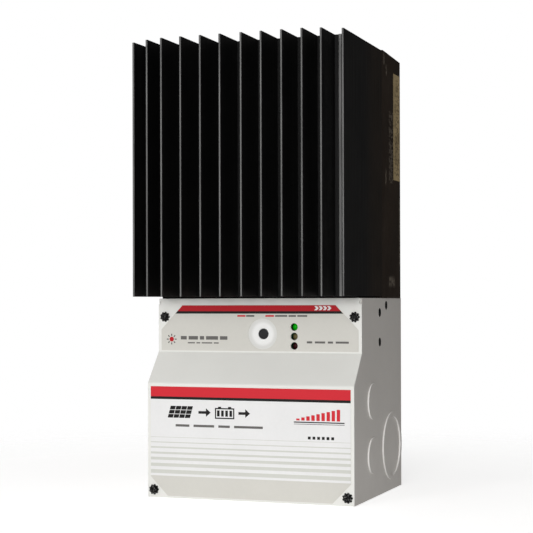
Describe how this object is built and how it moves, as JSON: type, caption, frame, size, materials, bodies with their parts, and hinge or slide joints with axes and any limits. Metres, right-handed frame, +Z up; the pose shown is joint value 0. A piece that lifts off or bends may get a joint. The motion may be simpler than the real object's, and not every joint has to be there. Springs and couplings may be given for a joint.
{
  "type": "charge controller",
  "caption": "Wall-mounted solar charge controller: a tall black finned heatsink over a light grey wiring box with a folded front cover, push button and status lights.",
  "frame": {"origin": "middle of the footprint, at the underside of the wiring box", "axes": "+X to the object's right as seen from the front, +Y towards the wall, +Z up"},
  "size_m": [0.141, 0.142, 0.291],
  "materials": {
    "anodised_black": "black anodised extrusion, satin",
    "housing_black": "black painted casting, satin",
    "box_paint": "light grey powder coat",
    "cover_paint": "light grey powder coat",
    "film_print": "printed polyester film",
    "label_foil": "plain tan foil label",
    "black_steel": "black oxide steel",
    "zinc_steel": "zinc plated steel",
    "board_laminate": "green solder mask",
    "terminal_plastic": "black moulded plastic",
    "tinned_metal": "tin plated block",
    "clamp_steel": "plated steel grub screw",
    "signal_plastic": "green moulded plastic",
    "earth_brass": "bare brass",
    "button_black": "black moulded plastic",
    "slider_white": "white moulded plastic",
    "lens_green": "green tinted lens",
    "lens_amber": "amber tinted lens",
    "lens_red": "red tinted lens",
    "pad_rubber": "grey silicone pad",
    "seal_foam": "black closed-cell foam",
    "transistor_plastic": "black epoxy package",
    "capacitor_can": "sleeved aluminium can",
    "inductor_core": "enamelled copper winding over a powder core"
  },
  "bodies": {
    "controller": {"bar_screws": "zinc_steel", "board_brackets": "box_paint", "board_screws": "zinc_steel", "board_standoffs": "zinc_steel", "box_screws": "zinc_steel", "bus_terminals": "signal_plastic", "button_switch": "terminal_plastic", "cover_nuts": "zinc_steel", "earth_lug": "earth_brass", "earth_screw": "zinc_steel", "end_plate_screws": "black_steel", "filter_capacitors": "capacitor_can", "heatsink": "anodised_black", "heatsink_base_plate": "anodised_black", "heatsink_seal": "seal_foam", "heatsink_top_plate": "anodised_black", "housing_screws": "black_steel", "inductors": "inductor_core", "light_spacer": "terminal_plastic", "main_board": "board_laminate", "meter_jack": "terminal_plastic", "network_jack": "terminal_plastic", "power_transistors": "transistor_plastic", "rating_label": "label_foil", "rear_housing": "housing_black", "sense_terminals": "signal_plastic", "setting_switch_body": "terminal_plastic", "signal_screws": "zinc_steel", "status_light_amber": "lens_amber", "status_light_green": "lens_green", "status_light_red": "lens_red", "terminal_base": "terminal_plastic", "terminal_lugs": "tinned_metal", "thermal_pads": "pad_rubber", "transistor_bars": "zinc_steel", "wiring_box": "box_paint"},
    "cover": {"wiring_cover": "cover_paint", "upper_overlay": "film_print", "lower_overlay": "film_print", "cover_screws": "black_steel", "lock_washers": "black_steel"},
    "button": {"push_button": "button_black"},
    "slider_1": {"setting_slider_1": "slider_white"},
    "slider_2": {"setting_slider_2": "slider_white"},
    "slider_3": {"setting_slider_3": "slider_white"},
    "slider_4": {"setting_slider_4": "slider_white"},
    "slider_5": {"setting_slider_5": "slider_white"},
    "slider_6": {"setting_slider_6": "slider_white"},
    "slider_7": {"setting_slider_7": "slider_white"},
    "slider_8": {"setting_slider_8": "slider_white"},
    "clamp_1": {"clamp_plate_1": "tinned_metal"},
    "grub_1": {"clamp_screw_1": "clamp_steel"},
    "clamp_2": {"clamp_plate_2": "tinned_metal"},
    "grub_2": {"clamp_screw_2": "clamp_steel"},
    "clamp_3": {"clamp_plate_3": "tinned_metal"},
    "grub_3": {"clamp_screw_3": "clamp_steel"},
    "clamp_4": {"clamp_plate_4": "tinned_metal"},
    "grub_4": {"clamp_screw_4": "clamp_steel"}
  },
  "joints": [
    {"name": "cover_lift_off", "type": "slide", "parent": "controller", "child": "cover", "axis": [0, -1, 0], "range_m": [0, 0.06]},
    {"name": "button_press", "type": "slide", "parent": "controller", "child": "button", "axis": [0, 1, 0], "range_m": [0, 0.0008], "stiffness_N_per_m": 2000, "springref_m": -0.0004},
    {"name": "slider_1_set", "type": "slide", "parent": "controller", "child": "slider_1", "axis": [0, 0, 1], "range_m": [0, 0.002]},
    {"name": "slider_2_set", "type": "slide", "parent": "controller", "child": "slider_2", "axis": [0, 0, 1], "range_m": [0, 0.002]},
    {"name": "slider_3_set", "type": "slide", "parent": "controller", "child": "slider_3", "axis": [0, 0, 1], "range_m": [0, 0.002]},
    {"name": "slider_4_set", "type": "slide", "parent": "controller", "child": "slider_4", "axis": [0, 0, 1], "range_m": [0, 0.002]},
    {"name": "slider_5_set", "type": "slide", "parent": "controller", "child": "slider_5", "axis": [0, 0, 1], "range_m": [0, 0.002]},
    {"name": "slider_6_set", "type": "slide", "parent": "controller", "child": "slider_6", "axis": [0, 0, 1], "range_m": [0, 0.002]},
    {"name": "slider_7_set", "type": "slide", "parent": "controller", "child": "slider_7", "axis": [0, 0, 1], "range_m": [0, 0.002]},
    {"name": "slider_8_set", "type": "slide", "parent": "controller", "child": "slider_8", "axis": [0, 0, 1], "range_m": [0, 0.002]},
    {"name": "clamp_1_close", "type": "slide", "parent": "controller", "child": "clamp_1", "axis": [0, 1, 0], "range_m": [0, 0.0074]},
    {"name": "screw_1_turn", "type": "hinge", "parent": "clamp_1", "child": "grub_1", "pos_m": [-0.011, -0.0335, 0.055], "axis": [0, 1, 0], "range_deg": [0, 2665]},
    {"name": "clamp_2_close", "type": "slide", "parent": "controller", "child": "clamp_2", "axis": [0, 1, 0], "range_m": [0, 0.0074]},
    {"name": "screw_2_turn", "type": "hinge", "parent": "clamp_2", "child": "grub_2", "pos_m": [0.0085, -0.0335, 0.055], "axis": [0, 1, 0], "range_deg": [0, 2665]},
    {"name": "clamp_3_close", "type": "slide", "parent": "controller", "child": "clamp_3", "axis": [0, 1, 0], "range_m": [0, 0.0074]},
    {"name": "screw_3_turn", "type": "hinge", "parent": "clamp_3", "child": "grub_3", "pos_m": [0.028, -0.0335, 0.055], "axis": [0, 1, 0], "range_deg": [0, 2665]},
    {"name": "clamp_4_close", "type": "slide", "parent": "controller", "child": "clamp_4", "axis": [0, 1, 0], "range_m": [0, 0.0074]},
    {"name": "screw_4_turn", "type": "hinge", "parent": "clamp_4", "child": "grub_4", "pos_m": [0.0475, -0.0335, 0.055], "axis": [0, 1, 0], "range_deg": [0, 2665]}
  ],
  "couplings": [
    {"joint": "screw_1_turn", "follows": "clamp_1_close", "rad_per_m": 6283.2},
    {"joint": "screw_2_turn", "follows": "clamp_2_close", "rad_per_m": 6283.2},
    {"joint": "screw_3_turn", "follows": "clamp_3_close", "rad_per_m": 6283.2},
    {"joint": "screw_4_turn", "follows": "clamp_4_close", "rad_per_m": 6283.2}
  ]
}
